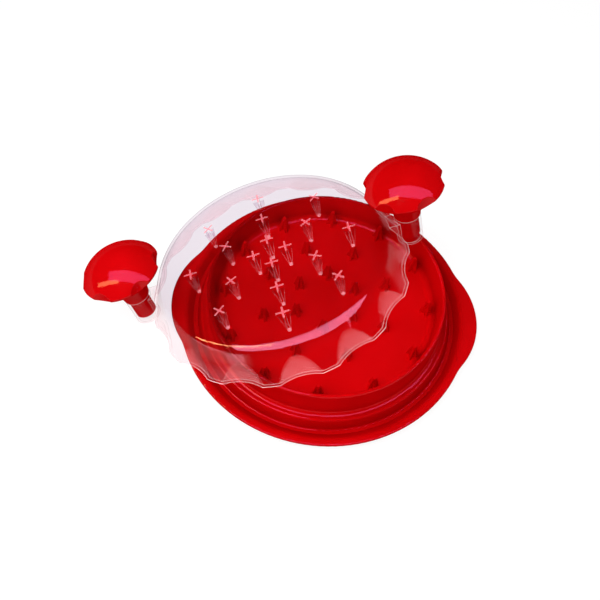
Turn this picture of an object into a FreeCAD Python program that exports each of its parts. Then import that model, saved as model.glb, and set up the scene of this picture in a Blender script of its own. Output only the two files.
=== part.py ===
import FreeCAD, Part
import math
import os
import Sketcher

V = FreeCAD.Vector
DIMENSIONS = {
    # Dish: a raised bowl standing in a wide brim, z measured from the table
    "brim_radius": 105.0,
    "brim_top": 10.0,
    "brim_flat_radius": 100.5,
    "shell_wall": 2.6,
    "gutter_top": 5.2,
    "gutter_outer_radius": 95.5,
    "gutter_inner_radius": 92.4,
    "step_top": 14.0,
    "step_radius": 89.4,
    "wall_foot_radius": 84.0,
    "rim_top": 37.4,
    "rim_radius": 83.2,
    "rim_wall": 2.4,
    "bowl_foot_radius": 78.0,
    "bowl_floor": 17.5,
    "cove_blend": 3.0,
    "floor_blend": 5.0,
    "edge_blend": 1.2,
    "brim_edge": 1.0,
    "rim_blend": 1.1,
    # Two rounded ears on the brim, along X
    "ear_radius": 60.0,
    "ear_centre": 52.0,
    "ear_root_radius": 101.5,
    "ear_blend": 45.0,
    # Upright spikes on the bowl floor, in rings between the lid's rings
    "dish_spike_length": 13.5,
    "dish_spike_span": 9.0,
    "dish_outer_ring": 72.5,
    "dish_middle_ring": 46.0,
    "dish_inner_ring": 23.0,
    "dish_outer_count": 12,
    "dish_middle_count": 8,
    "dish_inner_count": 6,
    # Spikes of two crossing blades, tapering to a blunt tip
    "spike_arm": 1.7,
    "spike_tip_span": 2.2,
    "spike_root": 0.8,
    # Rubber pads under the gutter
    "pad_inner_radius": 91.2,
    "pad_outer_radius": 96.2,
    "pad_half_angle": 24.0,
    # Clear lid, z measured from the underside of its top plate
    "plate_wall": 2.2,
    "lid_wall": 2.0,
    "shoulder_radius": 80.3,
    "shoulder_blend": 10.0,
    "skirt_radius": 94.6,
    "skirt_depth": 23.2,
    "flute_count": 7,
    "flute_pitch": 24.0,
    "flute_radius": 34.0,
    "flute_start_depth": 9.0,
    "flute_cut": 4.0,
    "lid_spike_length": 17.0,
    "lid_spike_span": 9.0,
    "lid_outer_ring": 57.3,
    "lid_middle_ring": 34.3,
    "lid_inner_ring": 11.5,
    "lid_outer_count": 8,
    "lid_middle_count": 6,
    "lid_inner_count": 4,
    # Sockets for the two knobs, one at each end of the lid's X axis
    "socket_reach": 98.5,
    "socket_radius": 9.2,
    "socket_bore": 7.4,
    "socket_top": -1.8,
    "web_top": -4.3,
    "web_half_span": 6.0,
    # Six-lobed mushroom knob, z measured from the top of its socket
    "knob_radius": 27.3,
    "knob_rim_height": 26.8,
    "knob_crown_height": 41.2,
    "knob_skirt": 2.0,
    "knob_bowl_radius": 11.2,
    "knob_bowl_height": 11.5,
    "knob_neck_radius": 9.2,
    "knob_seat_gap": 0.3,
    "stem_radius": 7.35,
    "stem_length": 17.0,
    "lobe_count": 6,
    "lobe_cut_radius": 13.6,
    "lobe_cut_centre": 37.9,
    "lobe_edge": 0.9,
    "knob_right_turn": -12.0,
    # Pose of the lid, leaning over the dish
    "lid_x": -41.9,
    "lid_y": 15.0,
    "lid_z": 50.5,
    "lid_lean": 17.1,
    "lid_lean_azimuth": 157.8,
    "lid_spin": 16.7,
}

doc = FreeCAD.newDocument("twist_shredder")
sheet = doc.addObject("Spreadsheet::Sheet", "Dims")
for row, (alias, value) in enumerate(DIMENSIONS.items(), start=1):
    sheet.set("A%d" % row, alias)
    sheet.set("B%d" % row, str(value))
    sheet.setAlias("B%d" % row, alias)
doc.recompute()


def dim(alias):
    return float(sheet.get(alias))


def cells(text):
    # Turns the words of a formula into references to the sheet's cells
    for alias in sorted(DIMENSIONS, key=len, reverse=True):
        text = text.replace("{%s}" % alias, "Dims.%s" % alias)
    return text


def value(text):
    return float(sheet.evalExpression(cells(text)))


def new_body(label):
    body = doc.addObject("PartDesign::Body", label)
    body.Label = label
    return body


def new_sketch(body, name, role, offset=None):
    sketch = body.newObject("Sketcher::SketchObject", name)
    plane = [item for item in body.Origin.OriginFeatures if item.Role == role][0]
    sketch.AttachmentSupport = [(plane, "")]
    sketch.MapMode = "FlatFace"
    if offset:
        sketch.setExpression("AttachmentOffset.Base.z", cells(offset))
    return sketch


def pin_point(sketch, geometry, point, across, up):
    # Holds one point of a sketch at a pair of formulas
    for kind, formula in (("DistanceX", across), ("DistanceY", up)):
        number = value(formula)
        if abs(number) < 1e-9:
            target = -2 if kind == "DistanceX" else -1
            sketch.addConstraint(Sketcher.Constraint("PointOnObject", geometry, point, target))
            continue
        index = sketch.addConstraint(Sketcher.Constraint(kind, -1, 1, geometry, point, number))
        sketch.setExpression("Constraints[%d]" % index, cells(formula))


def draw_polygon(sketch, corners):
    # Closed outline of straight lines, every corner given as two formulas
    spots = [V(value(across), value(up), 0) for across, up in corners]
    first = sketch.GeometryCount
    count = len(spots)
    for i in range(count):
        sketch.addGeometry(Part.LineSegment(spots[i], spots[(i + 1) % count]), False)
    for i in range(count):
        following = first + (i + 1) % count
        sketch.addConstraint(Sketcher.Constraint("Coincident", first + i, 2, following, 1))
    for i, (across, up) in enumerate(corners):
        pin_point(sketch, first + i, 1, across, up)
    return sketch


def draw_circle(sketch, across, up, radius):
    circle = Part.Circle(V(value(across), value(up), 0), V(0, 0, 1), value(radius))
    index = sketch.addGeometry(circle, False)
    pin_point(sketch, index, 3, across, up)
    constraint = sketch.addConstraint(Sketcher.Constraint("Radius", index, value(radius)))
    sketch.setExpression("Constraints[%d]" % constraint, cells(radius))
    return sketch


def revolve(body, name, sketch):
    feature = body.newObject("PartDesign::Revolution", name)
    feature.Profile = sketch
    feature.ReferenceAxis = (sketch, ["V_Axis"])
    feature.Angle = 360
    doc.recompute()
    return feature


def polar(body, name, feature, count):
    pattern = body.newObject("PartDesign::PolarPattern", name)
    pattern.Originals = [feature]
    axis = [item for item in body.Origin.OriginFeatures if item.Role == "Z_Axis"][0]
    pattern.Axis = (axis, [""])
    pattern.Angle = 360
    pattern.setExpression("Occurrences", cells(count))
    body.Tip = pattern
    doc.recompute()
    return pattern


def ring_edges(shape, spots):
    # Names of the full circles about Z that pass through the given radius and height
    names = []
    for radius, height in spots:
        for number, edge in enumerate(shape.Edges, start=1):
            curve = edge.Curve
            if not isinstance(curve, Part.Circle):
                continue
            centred = math.hypot(curve.Center.x, curve.Center.y) < 1e-6
            if centred and abs(curve.Radius - radius) < 1e-4 and abs(curve.Center.z - height) < 1e-4:
                names.append("Edge%d" % number)
    return names


def blend(body, name, spots, radius):
    base = body.Tip
    fillet = body.newObject("PartDesign::Fillet", name)
    names = ring_edges(base.Shape, [(value(r), value(z)) for r, z in spots])
    if len(names) < len(spots):
        raise RuntimeError("%s found %d edges of %d" % (name, len(names), len(spots)))
    fillet.Base = (base, names)
    fillet.setExpression("Radius", cells(radius))
    body.Tip = fillet
    doc.recompute()
    return fillet


def blade(body, name, role, centre, root, tip, span):
    # Outline of one tapered blade, drawn on an upright plane
    sketch = new_sketch(body, name + "Outline", role)
    corners = [
        ("%s - %s / 2" % (centre, span), root),
        ("%s + %s / 2" % (centre, span), root),
        ("%s + {spike_tip_span} / 2" % centre, tip),
        ("%s - {spike_tip_span} / 2" % centre, tip),
    ]
    draw_polygon(sketch, corners)
    pad = body.newObject("PartDesign::Pad", name)
    pad.Profile = sketch
    pad.Midplane = True
    pad.setExpression("Length", cells("{spike_arm}"))
    return sketch, pad


def spike_ring(body, name, reach, azimuth, count, root, tip, span):
    # Spikes of two crossing blades, one along the radius and one across it
    along_sketch, along = blade(body, name + "Along", "XZ_Plane", reach, root, tip, span)
    across_sketch, across = blade(body, name + "Across", "YZ_Plane", "0", root, tip, span)
    turn = FreeCAD.Rotation(V(0, 1, 0), azimuth)
    along_sketch.AttachmentOffset = FreeCAD.Placement(V(0, 0, 0), turn)
    across_sketch.AttachmentOffset = FreeCAD.Placement(V(0, 0, 0), turn)
    across_sketch.setExpression("AttachmentOffset.Base.x", cells("%s * sin(%s)" % (reach, azimuth)))
    across_sketch.setExpression("AttachmentOffset.Base.z", cells("%s * cos(%s)" % (reach, azimuth)))
    body.Tip = across
    doc.recompute()
    ring = polar(body, name + "Ring", along, count)
    ring.Originals = [along, across]
    doc.recompute()
    return ring


# Dish: bowl wall, step, gutter and brim as one turned shell
dish = new_body("base_dish")
dish_profile = new_sketch(dish, "DishProfile", "XZ_Plane")
draw_polygon(
    dish_profile,
    [
        ("0", "{bowl_floor}"),
        ("{bowl_foot_radius}", "{bowl_floor}"),
        ("{rim_radius} - {rim_wall}", "{rim_top}"),
        ("{rim_radius}", "{rim_top}"),
        ("{wall_foot_radius}", "{step_top}"),
        ("{step_radius}", "{step_top}"),
        ("{gutter_inner_radius}", "{gutter_top}"),
        ("{gutter_outer_radius}", "{gutter_top}"),
        ("{brim_flat_radius}", "{brim_top}"),
        ("{brim_radius}", "{brim_top}"),
        ("{brim_radius}", "{brim_top} - {shell_wall}"),
        ("{brim_flat_radius} + 0.8", "{brim_top} - {shell_wall}"),
        ("{gutter_outer_radius} + 0.8", "{gutter_top} - {shell_wall}"),
        ("{gutter_inner_radius} - {shell_wall} + 0.7", "{gutter_top} - {shell_wall}"),
        ("{step_radius} - {shell_wall} + 0.4", "{step_top} - {shell_wall}"),
        ("{bowl_foot_radius}", "{bowl_floor} - {shell_wall}"),
        ("0", "{bowl_floor} - {shell_wall}"),
    ],
)
revolve(dish, "DishShell", dish_profile)
blend(
    dish,
    "RimRound",
    [("{rim_radius}", "{rim_top}"), ("{rim_radius} - {rim_wall}", "{rim_top}")],
    "{rim_blend}",
)
blend(dish, "FloorRound", [("{bowl_foot_radius}", "{bowl_floor}")], "{floor_blend}")
blend(dish, "CoveRound", [("{wall_foot_radius}", "{step_top}")], "{cove_blend}")
blend(
    dish,
    "StepRound",
    [("{step_radius}", "{step_top}"), ("{gutter_inner_radius}", "{gutter_top}")],
    "{edge_blend}",
)
blend(dish, "BrimRound", [("{brim_flat_radius}", "{brim_top}")], "{floor_blend}")

# Ears: a crescent outside the brim, blended into its edge
ear_sketch = new_sketch(dish, "EarOutline", "XY_Plane", "{brim_top} - {shell_wall}")
root, ear, centre = dim("ear_root_radius"), dim("ear_radius"), dim("ear_centre")
root_angle = math.acos((root**2 + centre**2 - ear**2) / (2 * root * centre))
ear_angle = math.atan2(root * math.sin(root_angle), root * math.cos(root_angle) - centre)
up = V(0, 0, 1)
ear_sketch.addGeometry(Part.ArcOfCircle(Part.Circle(V(centre, 0, 0), up, ear), -ear_angle, ear_angle), False)
ear_sketch.addGeometry(Part.ArcOfCircle(Part.Circle(V(0, 0, 0), up, root), -root_angle, root_angle), False)
ear_sketch.addConstraint(Sketcher.Constraint("Coincident", 0, 1, 1, 1))
ear_sketch.addConstraint(Sketcher.Constraint("Coincident", 0, 2, 1, 2))
pin_point(ear_sketch, 0, 3, "{ear_centre}", "0")
ear_sketch.addConstraint(Sketcher.Constraint("Coincident", 1, 3, -1, 1))
for arc, alias in ((0, "{ear_radius}"), (1, "{ear_root_radius}")):
    held = ear_sketch.addConstraint(Sketcher.Constraint("Radius", arc, value(alias)))
    ear_sketch.setExpression("Constraints[%d]" % held, cells(alias))
ear_pad = dish.newObject("PartDesign::Pad", "Ear")
ear_pad.Profile = ear_sketch
ear_pad.setExpression("Length", cells("{shell_wall}"))
dish.Tip = ear_pad
doc.recompute()
polar(dish, "Ears", ear_pad, "2")


def pick_edges(shape, test):
    return ["Edge%d" % number for number, edge in enumerate(shape.Edges, start=1) if test(edge)]


def reach_of(edge):
    # Greatest distance of an edge's ends and middle from the Z axis
    middle = edge.valueAt((edge.FirstParameter + edge.LastParameter) / 2)
    spots = [vertex.Point for vertex in edge.Vertexes] + [middle]
    return max(math.hypot(spot.x, spot.y) for spot in spots)


def is_ear_corner(edge):
    box = edge.BoundBox
    return isinstance(edge.Curve, Part.Line) and box.ZLength > 1 and reach_of(edge) > dim("brim_radius") - 0.1


def is_brim_edge(edge):
    box = edge.BoundBox
    return box.ZLength < 1e-6 and reach_of(edge) > dim("brim_radius") - 0.5


def blend_picked(body, name, test, radius):
    base = body.Tip
    fillet = body.newObject("PartDesign::Fillet", name)
    fillet.Base = (base, pick_edges(base.Shape, test))
    fillet.setExpression("Radius", cells(radius))
    body.Tip = fillet
    doc.recompute()
    return fillet


blend_picked(dish, "EarBlend", is_ear_corner, "{ear_blend}")
blend_picked(dish, "BrimEdge", is_brim_edge, "{brim_edge}")

# Dish spikes: three rings of upright crosses
dish_rings = (
    ("OuterSpike", "{dish_outer_ring}", 0, "{dish_outer_count}"),
    ("MiddleSpike", "{dish_middle_ring}", 22.5, "{dish_middle_count}"),
    ("InnerSpike", "{dish_inner_ring}", 30, "{dish_inner_count}"),
)
for name, reach, azimuth, count in dish_rings:
    spike_ring(
        dish,
        name,
        reach,
        azimuth,
        count,
        "{bowl_floor} - {spike_root}",
        "{bowl_floor} + {dish_spike_length}",
        "{dish_spike_span}",
    )

# Rubber pads: four curved strips under the gutter
pads = []
for name, azimuth in (("right", 0), ("rear", 90), ("left", 180), ("front", 270)):
    pad = new_body("foot_pad_" + name)
    outline = new_sketch(pad, "PadOutline_" + name, "XY_Plane")
    half = math.radians(dim("pad_half_angle"))
    inner, outer = dim("pad_inner_radius"), dim("pad_outer_radius")
    outline.addGeometry(Part.ArcOfCircle(Part.Circle(V(0, 0, 0), up, outer), -half, half), False)
    outline.addGeometry(Part.ArcOfCircle(Part.Circle(V(0, 0, 0), up, inner), -half, half), False)
    for end in (1, 2):
        side = -1 if end == 1 else 1
        near = V(inner * math.cos(half), side * inner * math.sin(half), 0)
        far = V(outer * math.cos(half), side * outer * math.sin(half), 0)
        line = outline.addGeometry(Part.LineSegment(near, far), False)
        outline.addConstraint(Sketcher.Constraint("Coincident", line, 1, 1, end))
        outline.addConstraint(Sketcher.Constraint("Coincident", line, 2, 0, end))
        outline.addConstraint(Sketcher.Constraint("PointOnObject", -1, 1, line))
        turn = outline.addConstraint(Sketcher.Constraint("Angle", -1, 1, line, 1, side * half))
        outline.setExpression("Constraints[%d]" % turn, cells("%d * {pad_half_angle}" % side))
    for arc, alias in ((0, "{pad_outer_radius}"), (1, "{pad_inner_radius}")):
        outline.addConstraint(Sketcher.Constraint("Coincident", arc, 3, -1, 1))
        held = outline.addConstraint(Sketcher.Constraint("Radius", arc, value(alias)))
        outline.setExpression("Constraints[%d]" % held, cells(alias))
    block = pad.newObject("PartDesign::Pad", "PadBlock_" + name)
    block.Profile = outline
    block.setExpression("Length", cells("{gutter_top} - {shell_wall}"))
    pad.Tip = block
    pad.Placement = FreeCAD.Placement(V(0, 0, 0), FreeCAD.Rotation(up, azimuth))
    doc.recompute()
    pads.append(pad)


# Lid: an outer form less an inner one, both scooped by the same tilted flutes
def flute_placement(azimuth):
    # Flute axis in the radial plane, leaning so that the scoop deepens downwards
    depth = dim("skirt_depth")
    slope = (dim("skirt_radius") - dim("shoulder_radius")) / (depth + dim("plate_wall"))
    start_depth = dim("flute_start_depth")
    start = V(dim("shoulder_radius") + slope * (start_depth + dim("plate_wall")), 0, -start_depth)
    end = V(dim("skirt_radius") - dim("flute_cut"), 0, -depth)
    along = (start - end).normalize()
    outward = V(0, 1, 0).cross(along)
    foot = end + outward * dim("flute_radius") - along * depth
    lean = FreeCAD.Placement(foot, FreeCAD.Rotation(up, along))
    return FreeCAD.Placement(V(0, 0, 0), FreeCAD.Rotation(up, azimuth)).multiply(lean)


def lid_form(label, corners, blend_spot, blend_radius, flute_radius):
    body = new_body(label)
    profile = draw_polygon(new_sketch(body, label + "Profile", "XZ_Plane"), corners)
    revolve(body, label + "Turned", profile)
    blend(body, label + "Shoulder", [blend_spot], blend_radius)
    half_set = dim("flute_pitch") * (dim("flute_count") - 1)
    for side in (-90, 90):
        name = "%sFlutes%d" % (label, side % 360)
        flute = body.newObject("PartDesign::SubtractiveCylinder", name + "First")
        flute.setExpression("Radius", cells(flute_radius))
        flute.setExpression("Height", cells("3 * {skirt_depth}"))
        flute.Placement = flute_placement(side - half_set / 2)
        body.Tip = flute
        doc.recompute()
        pattern = polar(body, name, flute, "{flute_count}")
        pattern.setExpression("Angle", cells("{flute_pitch} * ({flute_count} - 1)"))
        doc.recompute()
    return body


lid_outer = lid_form(
    "lid_outer",
    [
        ("0", "{plate_wall}"),
        ("{shoulder_radius}", "{plate_wall}"),
        ("{skirt_radius}", "-{skirt_depth}"),
        ("0", "-{skirt_depth}"),
    ],
    ("{shoulder_radius}", "{plate_wall}"),
    "{shoulder_blend}",
    "{flute_radius}",
)
skirt_slope = "({skirt_radius} - {shoulder_radius}) / ({skirt_depth} + {plate_wall})"
core_top_radius = "{shoulder_radius} - {lid_wall} + {plate_wall} * " + skirt_slope
core_low_radius = "{skirt_radius} - {lid_wall} + 5 * " + skirt_slope
lid_core = lid_form(
    "lid_core",
    [
        ("0", "0"),
        (core_top_radius, "0"),
        (core_low_radius, "-{skirt_depth} - 5"),
        ("0", "-{skirt_depth} - 5"),
    ],
    (core_top_radius, "0"),
    "{shoulder_blend} - {lid_wall}",
    "{flute_radius} + {lid_wall}",
)
lid_shell = doc.addObject("Part::Cut", "lid_shell")
lid_shell.Base = lid_outer
lid_shell.Tool = lid_core
doc.recompute()

lid = new_body("lid_cover")
lid.BaseFeature = lid_shell
doc.recompute()
lid_rings = (
    ("LidOuterSpike", "{lid_outer_ring}", 0, "{lid_outer_count}"),
    ("LidMiddleSpike", "{lid_middle_ring}", 30, "{lid_middle_count}"),
    ("LidInnerSpike", "{lid_inner_ring}", 0, "{lid_inner_count}"),
)
for name, reach, azimuth, count in lid_rings:
    spike_ring(
        lid, name, reach, azimuth, count, "{spike_root}", "-{lid_spike_length}", "{lid_spike_span}"
    )

# Sockets: a web out from the wall, a tube on its end and a bore through it
web_sketch = new_sketch(lid, "WebSide", "XZ_Plane")
web_low = "-{skirt_depth}"
wall_middle = "{shoulder_radius} - {lid_wall} / 2 + ({plate_wall} - (%s)) * " + skirt_slope
draw_polygon(
    web_sketch,
    [
        (wall_middle % "{web_top}", "{web_top}"),
        ("{socket_reach}", "{web_top}"),
        ("{socket_reach}", web_low),
        (wall_middle % web_low, web_low),
    ],
)
web = lid.newObject("PartDesign::Pad", "Web")
web.Profile = web_sketch
web.Midplane = True
web.setExpression("Length", cells("2 * {web_half_span}"))
lid.Tip = web
doc.recompute()
tube_sketch = new_sketch(lid, "TubeOutline", "XY_Plane", web_low)
draw_circle(tube_sketch, "{socket_reach}", "0", "{socket_radius}")
tube = lid.newObject("PartDesign::Pad", "Tube")
tube.Profile = tube_sketch
tube.setExpression("Length", cells("{skirt_depth} + {socket_top}"))
lid.Tip = tube
doc.recompute()
bore_sketch = new_sketch(lid, "BoreOutline", "XY_Plane", "-{skirt_depth} - 1")
draw_circle(bore_sketch, "{socket_reach}", "0", "{socket_bore}")
bore = lid.newObject("PartDesign::Pocket", "Bore")
bore.Profile = bore_sketch
bore.Reversed = True
bore.setExpression("Length", cells("{skirt_depth} + {socket_top} + 2"))
lid.Tip = bore
doc.recompute()
sockets = polar(lid, "Sockets", bore, "2")
sockets.Originals = [web, tube, bore]
doc.recompute()


def is_cap_edge(edge):
    # The scalloped edges round the dome, clear of the neck
    return edge.BoundBox.ZMin > dim("knob_bowl_height") + 3 and edge.Length > 3


# Knobs: a domed cap on a tapering neck, with a stem for the socket
def make_knob(label):
    body = new_body(label)
    sketch = new_sketch(body, label + "Profile", "XZ_Plane")
    corners = [
        ("{knob_radius}", "{knob_rim_height}"),
        ("{knob_radius} - 0.6", "{knob_rim_height} - {knob_skirt}"),
        ("{knob_bowl_radius}", "{knob_bowl_height}"),
        ("{knob_neck_radius}", "{knob_seat_gap}"),
        ("{stem_radius}", "{knob_seat_gap}"),
        ("{stem_radius}", "-{stem_length}"),
        ("0", "-{stem_length}"),
        ("0", "{knob_crown_height}"),
    ]
    spots = [V(value(across), value(height), 0) for across, height in corners]
    for i in range(len(spots) - 1):
        sketch.addGeometry(Part.LineSegment(spots[i], spots[i + 1]), False)
    rise = dim("knob_crown_height") - dim("knob_rim_height")
    dome_radius = (dim("knob_radius") ** 2 + rise**2) / (2 * rise)
    dome_centre = V(0, dim("knob_crown_height") - dome_radius, 0)
    rim_angle = math.atan2(dim("knob_rim_height") - dome_centre.y, dim("knob_radius"))
    dome = Part.ArcOfCircle(Part.Circle(dome_centre, up, dome_radius), rim_angle, math.pi / 2)
    arc = sketch.addGeometry(dome, False)
    for i in range(arc - 1):
        sketch.addConstraint(Sketcher.Constraint("Coincident", i, 2, i + 1, 1))
    sketch.addConstraint(Sketcher.Constraint("Coincident", arc, 1, 0, 1))
    sketch.addConstraint(Sketcher.Constraint("Coincident", arc, 2, arc - 1, 2))
    sketch.addConstraint(Sketcher.Constraint("PointOnObject", arc, 3, -2))
    for i in range(arc):
        pin_point(sketch, i, 1, *corners[i])
    pin_point(sketch, arc, 2, *corners[-1])
    revolve(body, label + "Turned", sketch)
    cut_sketch = new_sketch(body, label + "LobeCut", "XY_Plane")
    draw_circle(cut_sketch, "{lobe_cut_centre}", "0", "{lobe_cut_radius}")
    notch = body.newObject("PartDesign::Pocket", label + "Notch")
    notch.Profile = cut_sketch
    notch.Reversed = True
    notch.setExpression("Length", cells("{knob_crown_height} + 1"))
    body.Tip = notch
    doc.recompute()
    polar(body, label + "Lobes", notch, "{lobe_count}")
    blend_picked(body, label + "LobeEdge", is_cap_edge, "{lobe_edge}")
    return body


knob_right = make_knob("knob_right")
knob_left = make_knob("knob_left")

# Poses: the lid leans over the dish, and each knob stands in its socket
azimuth = math.radians(dim("lid_lean_azimuth"))
lean = FreeCAD.Rotation(V(-math.sin(azimuth), math.cos(azimuth), 0), dim("lid_lean"))
spin = FreeCAD.Rotation(up, dim("lid_spin"))
lid.Placement = FreeCAD.Placement(V(dim("lid_x"), dim("lid_y"), dim("lid_z")), lean.multiply(spin))
for knob, side, turn in ((knob_right, 1, dim("knob_right_turn")), (knob_left, -1, 0)):
    spot = V(side * dim("socket_reach"), 0, dim("socket_top"))
    seat = FreeCAD.Placement(spot, FreeCAD.Rotation(up, turn))
    knob.Placement = lid.Placement.multiply(seat)
doc.recompute()

# Frame: the origin lies on the table, under the middle of the whole assembly
pieces = [dish] + pads + [lid, knob_left, knob_right]
whole = FreeCAD.BoundBox()
for piece in pieces:
    whole.add(piece.Shape.optimalBoundingBox(True, False))
shift = FreeCAD.Placement(V(-whole.Center.x, -whole.Center.y, 0), FreeCAD.Rotation())
for piece in pieces:
    piece.Placement = shift.multiply(piece.Placement)
doc.recompute()

# Every object must have built, and every piece must be one sound solid
for item in doc.Objects:
    if "Invalid" in item.State or "Error" in item.State:
        raise RuntimeError("%s did not build: %s" % (item.Name, item.State))
for piece in pieces:
    if piece.Shape.isNull() or not piece.Shape.isValid() or len(piece.Shape.Solids) != 1:
        raise RuntimeError("%s is not one sound solid" % piece.Label)

os.makedirs("parts", exist_ok=True)
for piece in pieces:
    piece.Shape.exportStep("parts/%s.step" % piece.Label)
    print(piece.Label, round(piece.Shape.Volume, 1), "mm3")
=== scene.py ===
import bpy
import math
from mathutils import Matrix, Quaternion, Vector


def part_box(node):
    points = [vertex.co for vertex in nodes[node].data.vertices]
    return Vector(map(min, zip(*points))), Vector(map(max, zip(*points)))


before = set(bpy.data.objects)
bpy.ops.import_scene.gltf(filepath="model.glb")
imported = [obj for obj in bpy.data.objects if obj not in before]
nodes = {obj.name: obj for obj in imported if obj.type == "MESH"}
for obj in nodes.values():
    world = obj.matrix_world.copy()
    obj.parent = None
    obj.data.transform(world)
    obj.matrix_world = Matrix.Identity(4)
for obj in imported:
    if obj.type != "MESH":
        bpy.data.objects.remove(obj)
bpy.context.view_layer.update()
PADS = [name for name in nodes if name.startswith("foot_pad")]
KNOBS = [name for name in nodes if name.startswith("knob")]
UPRIGHT = Vector((0, 0, 1))

# The dish axis stands in the middle of the dish's own box
dish_low, dish_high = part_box("base_dish")
DISH_AXIS = Vector(((dish_low.x + dish_high.x) / 2, (dish_low.y + dish_high.y) / 2, 0))

# The lid leans: the middle of its top plate's underside, and the way its top faces
LID_CENTRE = DISH_AXIS + Vector((-0.0419, 0.0150, 0.0505))
LID_LEAN = math.radians(17.1)
LID_AZIMUTH = math.radians(157.8)
LID_AXIS = Vector((
    math.sin(LID_LEAN) * math.cos(LID_AZIMUTH),
    math.sin(LID_LEAN) * math.sin(LID_AZIMUTH),
    math.cos(LID_LEAN),
))

# The sockets stand on the lid's own long axis, which runs through the two knobs
left_low, left_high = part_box("knob_left")
right_low, right_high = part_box("knob_right")
between = right_low + right_high - left_low - left_high
LID_ALONG = (between - LID_AXIS * between.dot(LID_AXIS)).normalized()
LID_ACROSS = LID_AXIS.cross(LID_ALONG)
SOCKET_REACH = 0.0985

# The lid's rings of spikes: radius, angle of the first spike and count
SPIKE_RINGS = ((0.0573, 0.0, 8), (0.0343, math.radians(30), 6), (0.0115, 0.0, 4))

# Bands in metres, each from where a mask is nothing to where it is one.
# A height runs up the lid's axis from the underside of its plate, and a reach runs out from an axis
BOWL_WALL_REACH = (0.0755, 0.0775)
SOCKET_WALL_REACH = (0.0100, 0.0096)
PLATE_HEIGHT = (-0.010, -0.003)
PLATE_REACH = (0.088, 0.080)
PLATE_RIM_REACH = (0.074, 0.080)
PLATE_TOP_HEIGHT = (0.0010, 0.0018)
SHOULDER_HEIGHT = (-0.014, -0.006)
HEM_HEIGHT = (-0.012, -0.018)
FLUTE_HEIGHT = (-0.006, -0.010)
FLUTE_REACH = (0.080, 0.083)
SPIKE_REACH = (0.070, 0.066)
SPIKE_HEIGHT = (-0.0001, -0.0003)
SPIKE_FLANK_HEIGHT = (-0.002, -0.005)
SPIKE_TIP_HEIGHT = (-0.0158, -0.0166)
EDGE_HIGHLIGHT_REACH = (0.068, 0.072)
CROSS_END = (0.00477, 0.00423)
CROSS_SIDE = (0.0006875, 0.0004675)

# Bands of plain numbers: the middle of a noise field, how far a face points along the lid's axis,
# how far a rounded normal agrees with the face's own, how open the gutter is where shade is painted, and how
# slanted a face is met
NOISE_MIDDLE = (0.3, 0.7)
FLUTE_SLOPE = (0.45, 0.27)
EDGE_AGREEMENT = (0.98, 0.88)
GUTTER_SHADE_OPENNESS = (0.85, 0.35)
RED_SLANT = (0.2, 0.7)

# How far round a point edges are looked for, and hollows for the gutter's painted shade, in metres
EDGE_RADIUS = 0.0007
SPIKE_EDGE_RADIUS = 0.00035
GUTTER_SHADE_DISTANCE = 0.022

# Mirror shares, met straight on first, and what each place of the lid keeps of its own
RED_GLOSS = (0.0135, 0.002)
LID_GLOSS = (0.022, 0.06)
LID_GLOSS_POWER = 5.0
SOCKET_GLOSS = 0.25
SPIKE_GLOSS = 0.40
PLATE_GLOSS = 0.5
SKIRT_GLOSS = 0.45
HEM_GLOSS = 1.8

# A slanted view passes through more plastic: how late that sets in, and what sockets and skirt keep of it
SLANT_POWER = 10.0
SOCKET_SLANT = 0.60
SKIRT_SLANT = 0.35

# How much the lid's painted highlights and painted reflections hide of what lies under them
EDGE_HIGHLIGHT_COVER = 0.55
SPIKE_ROOT_HIGHLIGHT = 0.06
SPIKE_FLANK_HIGHLIGHT = 0.42
FLUTE_SHEEN_COVER = 0.036
CROSS_REFLECTION_COVER = 0.60
TIP_HIGHLIGHT_COVER = 0.50

# Places on a ramp of three colours
MIDDLE_STOP = 0.5
FLUTE_STOP = 0.4

# Roughness, smoothest and dullest
RED_POLISH = (0.03, 0.09)
LID_POLISH = (0.015, 0.05)
PAINTED_LIGHT_POLISH = (0.15, 0.3)
RUBBER_POLISH = (0.7, 0.9)

# Colours are linear
RED = (0.70, 0.0010, 0.0030, 1)
RED_DEEP = (0.60, 0.0006, 0.0018, 1)
# Painted shade for the dish's gutter, wall and step
RED_PAINTED_SHADE = (0.36, 0.0003, 0.0010, 1)
PLATE_TINT = (0.911, 0.875, 0.910, 1)
SKIRT_TINT = (0.985, 0.940, 0.952, 1)
SOCKET_TINT = (0.955, 0.925, 0.930, 1)
SKIRT_SHEEN = (1.0, 0.50, 0.58, 1)
UNTINTED = (0.985, 0.985, 0.985, 1)
# Painted light on the lid: a pale highlight for its edges, a pink highlight for its spikes and a red
# reflection of the dish for the crosses at their roots
EDGE_HIGHLIGHT = (0.97, 0.80, 0.80, 1)
SPIKE_HIGHLIGHT_PINK = (0.95, 0.42, 0.43, 1)
ROOT_REFLECTION_RED = (0.70, 0.13, 0.17, 1)
SLANT_GREY = (0.22, 0.18, 0.20, 1)
RUBBER = (0.030, 0.030, 0.032, 1)
RUBBER_WORN = (0.062, 0.060, 0.058, 1)
PAPER = (0.17, 0.17, 0.17, 1)
WHITE = (1, 1, 1, 1)
ROOM_DIM = (0.03, 0.028, 0.03, 1)

# Lamp colours
PLAIN_LIGHT = (1, 1, 1)
PANEL_PINK = (1.0, 0.16, 0.46)
STRIP_ORANGE = (1, 0.38, 0.16)
WINDOW_PINK = (1.0, 0.36, 0.60)
LOW_WINDOW_PINK = (1.0, 0.36, 0.44)
FILL_PINK = (1.0, 0.62, 0.66)

# The floor as the camera sees it and as it lights the object, the world behind and around the object,
# and the heights between which a mirrored room turns from white to dim
FLOOR_HALF_WIDTH = 6.0
FLOOR_GLOW = 0.90
FLOOR_BOUNCE = 0.55
BEHIND_LIGHT = 0.965
SOFT_LIGHT = 0.38
ROOM_WHITE_TO = 0.01
ROOM_DIM_FROM = 0.06

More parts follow.
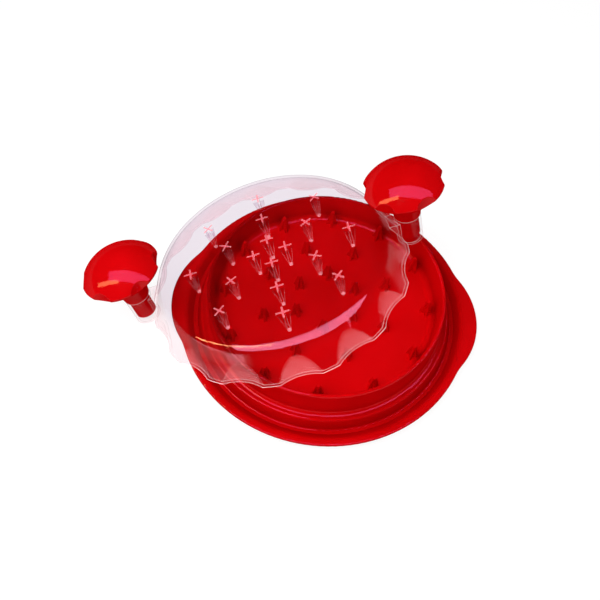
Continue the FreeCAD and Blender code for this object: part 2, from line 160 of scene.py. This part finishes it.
# Camera, measured from the foot of the dish axis, in metres
CAMERA_PLACE = Vector((-0.0109, -0.2520, 0.4230))
CAMERA_AIM = Vector((-0.0181, -0.0020, 0.0200))
CAMERA_ROLL = math.radians(4.2)
CAMERA_NEAREST = 0.01
CAMERA_FARTHEST = 30
SENSOR_WIDTH = 36.0
FOCAL_SHARE = 1.1
CLEAR_LAYERS = 32

# Sockets of Blender's Mix node that carry colours: they share their names with its other sockets
MIX_SHARE = 0
MIX_FIRST = 6
MIX_SECOND = 7
MIX_RESULT = 2


def new_material(name):
    material = bpy.data.materials.new(name)
    material.use_nodes = True
    tree = material.node_tree
    tree.nodes.clear()
    return material, tree


def add_node(tree, kind, **values):
    # Adds a node and sets its named inputs or its own properties
    node = tree.nodes.new(kind)
    for key, setting in values.items():
        if key in node.inputs:
            node.inputs[key].default_value = setting
        else:
            setattr(node, key, setting)
    return node


def feed(tree, node, values):
    # Links or sets a node's first inputs, in their order
    for socket, value in zip(node.inputs, values):
        if isinstance(value, bpy.types.NodeSocket):
            tree.links.new(value, socket)
        else:
            socket.default_value = value


def math_node(tree, operation, *values):
    node = add_node(tree, "ShaderNodeMath", operation=operation)
    feed(tree, node, values)
    return node.outputs["Value"]


def vector_node(tree, operation, *values):
    node = add_node(tree, "ShaderNodeVectorMath", operation=operation)
    feed(tree, node, values)
    gives_number = operation in ("DOT_PRODUCT", "LENGTH")
    return node.outputs["Value" if gives_number else "Vector"]


def noise(tree, scale, detail=3.0):
    place = add_node(tree, "ShaderNodeTexCoord")
    field = add_node(tree, "ShaderNodeTexNoise", Scale=scale, Detail=detail)
    tree.links.new(place.outputs["Object"], field.inputs["Vector"])
    return field.outputs["Fac"]


def ramp(tree, source, stops):
    node = add_node(tree, "ShaderNodeValToRGB")
    elements = node.color_ramp.elements
    while len(elements) < len(stops):
        elements.new(MIDDLE_STOP)
    for element, (position, colour) in zip(elements, stops):
        element.position = position
        element.color = colour
    tree.links.new(source, node.inputs["Fac"])
    return node.outputs["Color"]


def rise(tree, source, start, end, low=0.0, high=1.0):
    # Goes from low to high as the source goes from start to end, and stays there
    node = add_node(tree, "ShaderNodeMapRange")
    node.inputs["From Min"].default_value = start
    node.inputs["From Max"].default_value = end
    node.inputs["To Min"].default_value = low
    node.inputs["To Max"].default_value = high
    tree.links.new(source, node.inputs["Value"])
    return node.outputs["Result"]


def between_values(tree, mask, low, high):
    # The low value where the mask is nothing, the high one where it is one
    return rise(tree, mask, 0.0, 1.0, low, high)


def span(tree, field, limits):
    # Maps the middle of a noise field to the range between two limits
    return rise(tree, field, *NOISE_MIDDLE, *limits)


def product(tree, *sources):
    total = sources[0]
    for source in sources[1:]:
        total = math_node(tree, "MULTIPLY", total, source)
    return total


def largest(tree, *sources):
    total = sources[0]
    for source in sources[1:]:
        total = math_node(tree, "MAXIMUM", total, source)
    return total


def bump(tree, source, strength, distance, below=None):
    node = add_node(tree, "ShaderNodeBump", Strength=strength, Distance=distance)
    tree.links.new(source, node.inputs["Height"])
    if below is not None:
        tree.links.new(below, node.inputs["Normal"])
    return node.outputs["Normal"]


def mix_colours(tree, share, first, second):
    node = add_node(tree, "ShaderNodeMix", data_type="RGBA")
    tree.links.new(share, node.inputs[MIX_SHARE])
    tree.links.new(first, node.inputs[MIX_FIRST])
    node.inputs[MIX_SECOND].default_value = second
    return node.outputs[MIX_RESULT]


def mix_shaders(tree, share, first, second):
    node = add_node(tree, "ShaderNodeMixShader")
    feed(tree, node, (share, first, second))
    return node.outputs["Shader"]


def close_material(tree, shader):
    output = add_node(tree, "ShaderNodeOutputMaterial")
    tree.links.new(shader, output.inputs["Surface"])


def edge_mask(tree, radius):
    # One along sharp edges, where a rounded normal leaves the face's own
    rounded = add_node(tree, "ShaderNodeBevel", samples=6)
    tree.links.new(radius, rounded.inputs["Radius"])
    plain = add_node(tree, "ShaderNodeNewGeometry")
    agreement = vector_node(tree, "DOT_PRODUCT", rounded.outputs["Normal"], plain.outputs["Normal"])
    return rise(tree, agreement, *EDGE_AGREEMENT)


def offset_from(tree, point):
    place = add_node(tree, "ShaderNodeTexCoord")
    return vector_node(tree, "SUBTRACT", place.outputs["Object"], point)


def height_along(tree, foot, axis):
    return vector_node(tree, "DOT_PRODUCT", offset_from(tree, foot), axis)


def reach_from(tree, foot, axis):
    # Distance from the line that runs through the foot along the axis
    across = vector_node(tree, "CROSS_PRODUCT", offset_from(tree, foot), axis)
    return vector_node(tree, "LENGTH", across)


def socket_mask(tree):
    # One inside the two tubes that hold the knobs' stems
    tubes = []
    for way in (-1, 1):
        foot = LID_CENTRE + LID_ALONG * SOCKET_REACH * way
        tubes.append(rise(tree, reach_from(tree, foot, LID_AXIS), *SOCKET_WALL_REACH))
    return largest(tree, *tubes)


def cross_mask(tree):
    # One over the crosses where the spikes grow out of the lid's plate, which carry a painted red reflection
    # of the dish
    sideways = height_along(tree, LID_CENTRE, LID_ACROSS)
    forwards = height_along(tree, LID_CENTRE, LID_ALONG)
    angle = math_node(tree, "ARCTAN2", sideways, forwards)
    reach = reach_from(tree, LID_CENTRE, LID_AXIS)
    arms = []
    for ring, first, count in SPIKE_RINGS:
        turn = math_node(tree, "PINGPONG", math_node(tree, "SUBTRACT", angle, first), math.pi / count)
        outward = math_node(tree, "SUBTRACT", product(tree, reach, math_node(tree, "COSINE", turn)), ring)
        outward = math_node(tree, "ABSOLUTE", outward)
        aside = product(tree, reach, math_node(tree, "SINE", turn))
        for along, across in ((outward, aside), (aside, outward)):
            arms.append(product(tree, rise(tree, along, *CROSS_END), rise(tree, across, *CROSS_SIDE)))
    return largest(tree, *arms)


def steep_mask(tree):
    # One where the skirt's face stands steeper than its cone, as it does in the flutes
    place = add_node(tree, "ShaderNodeTexCoord")
    upward = vector_node(tree, "DOT_PRODUCT", place.outputs["Normal"], LID_AXIS)
    return rise(tree, math_node(tree, "ABSOLUTE", upward), *FLUTE_SLOPE)


def slanting(tree, power):
    # Nothing where a surface is met straight on, one where it is met edge on, from both sides
    weight = add_node(tree, "ShaderNodeLayerWeight", Blend=0.5)
    return math_node(tree, "POWER", weight.outputs["Facing"], power)


def seen_ray(tree):
    # One where the camera sees the surface, straight, mirrored or through the clear lid
    path = add_node(tree, "ShaderNodeLightPath")
    return largest(
        tree,
        path.outputs["Is Camera Ray"],
        path.outputs["Is Glossy Ray"],
        path.outputs["Is Transmission Ray"],
    )


def red_plastic(name, paints_gutter_shade):
    # Glossy moulded plastic with faint flow marks and an uneven polish, with painted shade deepening the red
    # in the dish's gutter
    material, tree = new_material(name)
    body = add_node(tree, "ShaderNodeBsdfPrincipled")
    body.inputs["Specular IOR Level"].default_value = 0.0
    body.inputs["Roughness"].default_value = 0.5
    colour = ramp(tree, noise(tree, scale=22, detail=2.0), [(0.35, RED_DEEP), (0.65, RED)])
    if paints_gutter_shade:
        # Painted shade: the red turns deeper where ambient occlusion finds the gutter closed in
        sky = add_node(tree, "ShaderNodeAmbientOcclusion", Distance=GUTTER_SHADE_DISTANCE, samples=8)
        painted_shade = rise(tree, sky.outputs["AO"], *GUTTER_SHADE_OPENNESS)
        # Painted shade deepens the wall, step and gutter, and not the spikes and floor inside them
        beyond_bowl = rise(tree, reach_from(tree, DISH_AXIS, UPRIGHT), *BOWL_WALL_REACH)
        colour = mix_colours(tree, product(tree, painted_shade, beyond_bowl), colour, RED_PAINTED_SHADE)
    sag = bump(tree, noise(tree, scale=30, detail=1.0), strength=0.05, distance=0.002)
    skin = bump(tree, noise(tree, scale=900, detail=2.0), strength=0.03, distance=0.0004, below=sag)
    tree.links.new(colour, body.inputs["Base Color"])
    tree.links.new(skin, body.inputs["Normal"])
    shine = add_node(tree, "ShaderNodeBsdfAnisotropic", Color=WHITE)
    tree.links.new(span(tree, noise(tree, scale=55, detail=4.0), RED_POLISH), shine.inputs["Roughness"])
    tree.links.new(skin, shine.inputs["Normal"])
    gloss = rise(tree, slanting(tree, 1.0), *RED_SLANT, *RED_GLOSS)
    close_material(tree, mix_shaders(tree, gloss, body.outputs["BSDF"], shine.outputs["BSDF"]))
    return material


def clear_plastic():
    # Clear moulding: what lies under it shows; its edges, spikes and tips carry painted highlights, and the
    # crosses at the spike roots a painted red reflection
    material, tree = new_material("clear_plastic")
    seen = seen_ray(tree)
    height = height_along(tree, LID_CENTRE, LID_AXIS)
    reach = reach_from(tree, LID_CENTRE, LID_AXIS)
    plate = product(tree, rise(tree, height, *PLATE_HEIGHT), rise(tree, reach, *PLATE_REACH))
    spike = product(tree, rise(tree, reach, *SPIKE_REACH), rise(tree, height, *SPIKE_HEIGHT))
    tip = product(tree, spike, rise(tree, height, *SPIKE_TIP_HEIGHT))
    cross = product(tree, cross_mask(tree), rise(tree, height, *PLATE_TOP_HEIGHT))
    socket = socket_mask(tree)
    flute = product(
        tree,
        steep_mask(tree),
        rise(tree, reach, *FLUTE_REACH),
        rise(tree, height, *FLUTE_HEIGHT),
        between_values(tree, socket, 1.0, 0.0),
    )
    edge = edge_mask(tree, between_values(tree, spike, EDGE_RADIUS, SPIKE_EDGE_RADIUS))

    # The clear wall: tinted in the plate and sockets, and greyer where it is met at a slant
    through = add_node(tree, "ShaderNodeBsdfTransparent")
    tints = [(0.0, UNTINTED), (MIDDLE_STOP, SKIRT_TINT), (1.0, PLATE_TINT)]
    tint = ramp(tree, product(tree, seen, between_values(tree, plate, MIDDLE_STOP, 1.0)), tints)
    tint = mix_colours(tree, product(tree, seen, socket), tint, SOCKET_TINT)
    longer_way = product(
        tree,
        seen,
        slanting(tree, SLANT_POWER),
        between_values(tree, socket, 1.0, SOCKET_SLANT),
        rise(tree, height, *SHOULDER_HEIGHT, SKIRT_SLANT, 1.0),
    )
    tint = mix_colours(tree, longer_way, tint, SLANT_GREY)
    tree.links.new(tint, through.inputs["Color"])

    # Its gloss: white above the shoulder, pink on the skirt, strongest along the hem
    mirror = add_node(tree, "ShaderNodeBsdfAnisotropic")
    sheen = ramp(tree, rise(tree, height, *SHOULDER_HEIGHT), [(0.0, SKIRT_SHEEN), (1.0, WHITE)])
    sag = bump(tree, noise(tree, scale=26, detail=1.0), strength=0.04, distance=0.002)
    tree.links.new(sheen, mirror.inputs["Color"])
    tree.links.new(span(tree, noise(tree, scale=60, detail=3.0), LID_POLISH), mirror.inputs["Roughness"])
    tree.links.new(sag, mirror.inputs["Normal"])
    gloss = product(
        tree,
        seen,
        between_values(tree, slanting(tree, LID_GLOSS_POWER), *LID_GLOSS),
        between_values(tree, socket, 1.0, SOCKET_GLOSS),
        between_values(tree, spike, 1.0, SPIKE_GLOSS),
        rise(tree, reach, *PLATE_RIM_REACH, PLATE_GLOSS, 1.0),
        largest(
            tree,
            rise(tree, height, *SHOULDER_HEIGHT, SKIRT_GLOSS, 1.0),
            rise(tree, height, *HEM_HEIGHT, SKIRT_GLOSS, HEM_GLOSS),
        ),
    )
    pane = mix_shaders(tree, gloss, through.outputs["BSDF"], mirror.outputs["BSDF"])

    # Painted light that hides the view: pale highlights on edges, pink highlights on spikes, a pink sheen in
    # the flutes and a red reflection of the dish in the crosses
    body = add_node(tree, "ShaderNodeBsdfPrincipled")
    tone = largest(tree, product(tree, spike, MIDDLE_STOP), product(tree, flute, FLUTE_STOP), cross)
    tones = [(0.0, EDGE_HIGHLIGHT), (MIDDLE_STOP, SPIKE_HIGHLIGHT_PINK), (1.0, ROOT_REFLECTION_RED)]
    tree.links.new(ramp(tree, tone, tones), body.inputs["Base Color"])
    tree.links.new(span(tree, noise(tree, scale=200, detail=2.0), PAINTED_LIGHT_POLISH), body.inputs["Roughness"])
    # Painted highlights along the edges, on the spikes and at their tips, a painted sheen in the flutes and
    # a painted red reflection in the crosses
    spike_highlight = rise(tree, height, *SPIKE_FLANK_HEIGHT, SPIKE_ROOT_HIGHLIGHT, SPIKE_FLANK_HIGHLIGHT)
    painted_light = largest(
        tree,
        product(tree, edge, rise(tree, reach, *EDGE_HIGHLIGHT_REACH, 0.0, EDGE_HIGHLIGHT_COVER)),
        product(tree, edge, spike, spike_highlight),
        product(tree, flute, FLUTE_SHEEN_COVER),
        product(tree, cross, CROSS_REFLECTION_COVER),
        product(tree, tip, TIP_HIGHLIGHT_COVER),
    )
    close_material(tree, mix_shaders(tree, product(tree, painted_light, seen), pane, body.outputs["BSDF"]))
    return material


def rubber():
    # Matt rubber with a fine grain and paler scuffs
    material, tree = new_material("pad_rubber")
    shader = add_node(tree, "ShaderNodeBsdfPrincipled")
    colour = ramp(tree, noise(tree, scale=140, detail=5.0), [(0.45, RUBBER), (0.75, RUBBER_WORN)])
    grain = bump(tree, noise(tree, scale=2600), strength=0.25, distance=0.0004)
    tree.links.new(colour, shader.inputs["Base Color"])
    tree.links.new(span(tree, noise(tree, scale=300), RUBBER_POLISH), shader.inputs["Roughness"])
    tree.links.new(grain, shader.inputs["Normal"])
    close_material(tree, shader.outputs["BSDF"])
    return material


def dress(names, material):
    for name in names:
        slots = nodes[name].material_slots
        for slot in slots:
            slot.material = material
        if not slots:
            nodes[name].data.materials.append(material)


def make_floor():
    # A white sheet that keeps the object's shadow
    size = FLOOR_HALF_WIDTH
    mesh = bpy.data.meshes.new("floor")
    corners = [(-size, -size, 0), (size, -size, 0), (size, size, 0), (-size, size, 0)]
    mesh.from_pydata(corners, [], [(0, 1, 2, 3)])
    floor = bpy.data.objects.new("floor", mesh)
    bpy.context.scene.collection.objects.link(floor)
    material, tree = new_material("floor_paper")
    lit = add_node(tree, "ShaderNodeBsdfDiffuse", Color=PAPER)
    glow = add_node(tree, "ShaderNodeEmission", Color=WHITE, Strength=FLOOR_GLOW)
    bounce = add_node(tree, "ShaderNodeEmission", Color=WHITE, Strength=FLOOR_BOUNCE)
    shown = mix_shaders(tree, seen_ray(tree), bounce.outputs["Emission"], glow.outputs["Emission"])
    both = add_node(tree, "ShaderNodeAddShader")
    feed(tree, both, (lit.outputs["BSDF"], shown))
    close_material(tree, both.outputs["Shader"])
    mesh.materials.append(material)


def make_world():
    # White behind the object and soft light all round it; mirrors meet white low down and a dim room above
    world = bpy.data.worlds.new("studio")
    bpy.context.scene.world = world
    world.use_nodes = True
    tree = world.node_tree
    tree.nodes.clear()
    place = add_node(tree, "ShaderNodeTexCoord")
    split = add_node(tree, "ShaderNodeSeparateXYZ")
    tree.links.new(place.outputs["Generated"], split.inputs["Vector"])
    stops = [(0.0, WHITE), (ROOM_WHITE_TO, WHITE), (ROOM_DIM_FROM, ROOM_DIM), (1.0, ROOM_DIM)]
    mirrored = add_node(tree, "ShaderNodeBackground", Strength=1.0)
    tree.links.new(ramp(tree, split.outputs["Z"], stops), mirrored.inputs["Color"])
    behind = add_node(tree, "ShaderNodeBackground", Color=WHITE, Strength=BEHIND_LIGHT)
    soft = add_node(tree, "ShaderNodeBackground", Color=WHITE, Strength=SOFT_LIGHT)
    path = add_node(tree, "ShaderNodeLightPath")
    shown = mix_shaders(tree, seen_ray(tree), soft.outputs["Background"], behind.outputs["Background"])
    shown = mix_shaders(tree, path.outputs["Is Glossy Ray"], shown, mirrored.outputs["Background"])
    output = add_node(tree, "ShaderNodeOutputWorld")
    tree.links.new(shown, output.inputs["Surface"])


def area_light(name, place, aim, size, power, colour, mirrored=True, lights=True):
    # A lamp that mirrors show, that lights dull surfaces, or both; places are from the foot of the dish axis
    data = bpy.data.lights.new(name, "AREA")
    data.shape = "RECTANGLE"
    data.size, data.size_y = size
    data.energy = power
    data.color = colour
    lamp = bpy.data.objects.new(name, data)
    bpy.context.scene.collection.objects.link(lamp)
    lamp.location = DISH_AXIS + Vector(place)
    direction = DISH_AXIS + Vector(aim) - lamp.location
    lamp.rotation_mode = "QUATERNION"
    lamp.rotation_quaternion = direction.to_track_quat("-Z", "Y")
    lamp.visible_camera = False
    lamp.visible_glossy = mirrored
    lamp.visible_diffuse = lights
    return lamp


def lay_along(lamp, way):
    # Turns a lamp about its own beam until its long side lies along the given way
    back = lamp.rotation_quaternion @ UPRIGHT
    way = (way - back * way.dot(back)).normalized()
    lamp.rotation_quaternion = Matrix((way, back.cross(way), back)).transposed().to_quaternion()


def only_for(lamp, names):
    # The lamp lights the named nodes alone
    group = bpy.data.collections.new(lamp.name + "_receivers")
    for name in names:
        group.objects.link(nodes[name])
    lamp.light_linking.receiver_collection = group


def make_lights():
    middle = (0, 0, 0.03)
    area_light(
        "overhead",
        place=(-0.20, -0.18, 0.62),
        aim=middle,
        size=(0.5, 0.5),
        power=3.3,
        colour=PLAIN_LIGHT,
        mirrored=False,
    )
    panel = area_light(
        "panel",
        place=(0.12, -0.16, 1.10),
        aim=(0.12, -0.16, 0),
        size=(2.35, 0.52),
        power=44,
        colour=PANEL_PINK,
        lights=False,
    )
    only_for(panel, ["base_dish"] + KNOBS)
    strip = area_light(
        "strip",
        place=(-0.73, -0.32, 0.655),
        aim=middle,
        size=(0.90, 0.14),
        power=11,
        colour=STRIP_ORANGE,
        lights=False,
    )
    lay_along(strip, Vector((-0.50, 0.18, -0.73)))
    window = area_light(
        "window",
        place=(0.10, -0.52, 0.94),
        aim=middle,
        size=(2.5, 1.05),
        power=78,
        colour=WINDOW_PINK,
        lights=False,
    )
    lay_along(window, Vector((1, 0, 0.22)))
    low_window = area_light(
        "low_window",
        place=(-0.25, -0.42, 0.030),
        aim=middle,
        size=(0.80, 0.055),
        power=0.6,
        colour=LOW_WINDOW_PINK,
        lights=False,
    )
    fill = area_light(
        "fill",
        place=(-0.05, -0.66, 0.80),
        aim=middle,
        size=(1.0, 0.7),
        power=16,
        colour=FILL_PINK,
        mirrored=False,
    )
    for lamp in (window, low_window, fill):
        only_for(lamp, ["lid_cover"])


def make_camera():
    data = bpy.data.cameras.new("camera")
    data.sensor_width = SENSOR_WIDTH
    data.lens = SENSOR_WIDTH * FOCAL_SHARE
    data.clip_start = CAMERA_NEAREST
    data.clip_end = CAMERA_FARTHEST
    camera = bpy.data.objects.new("camera", data)
    bpy.context.scene.collection.objects.link(camera)
    camera.location = DISH_AXIS + CAMERA_PLACE
    aim = CAMERA_AIM - CAMERA_PLACE
    camera.rotation_mode = "QUATERNION"
    camera.rotation_quaternion = aim.to_track_quat("-Z", "Y") @ Quaternion(UPRIGHT, CAMERA_ROLL)
    bpy.context.scene.camera = camera


dress(["base_dish"], red_plastic("dish_red", paints_gutter_shade=True))
dress(KNOBS, red_plastic("knob_red", paints_gutter_shade=False))
dress(["lid_cover"], clear_plastic())
dress(PADS, rubber())
make_floor()
make_world()
make_lights()
make_camera()
bpy.context.scene.view_settings.view_transform = "Standard"
bpy.context.scene.cycles.transparent_max_bounces = CLEAR_LAYERS
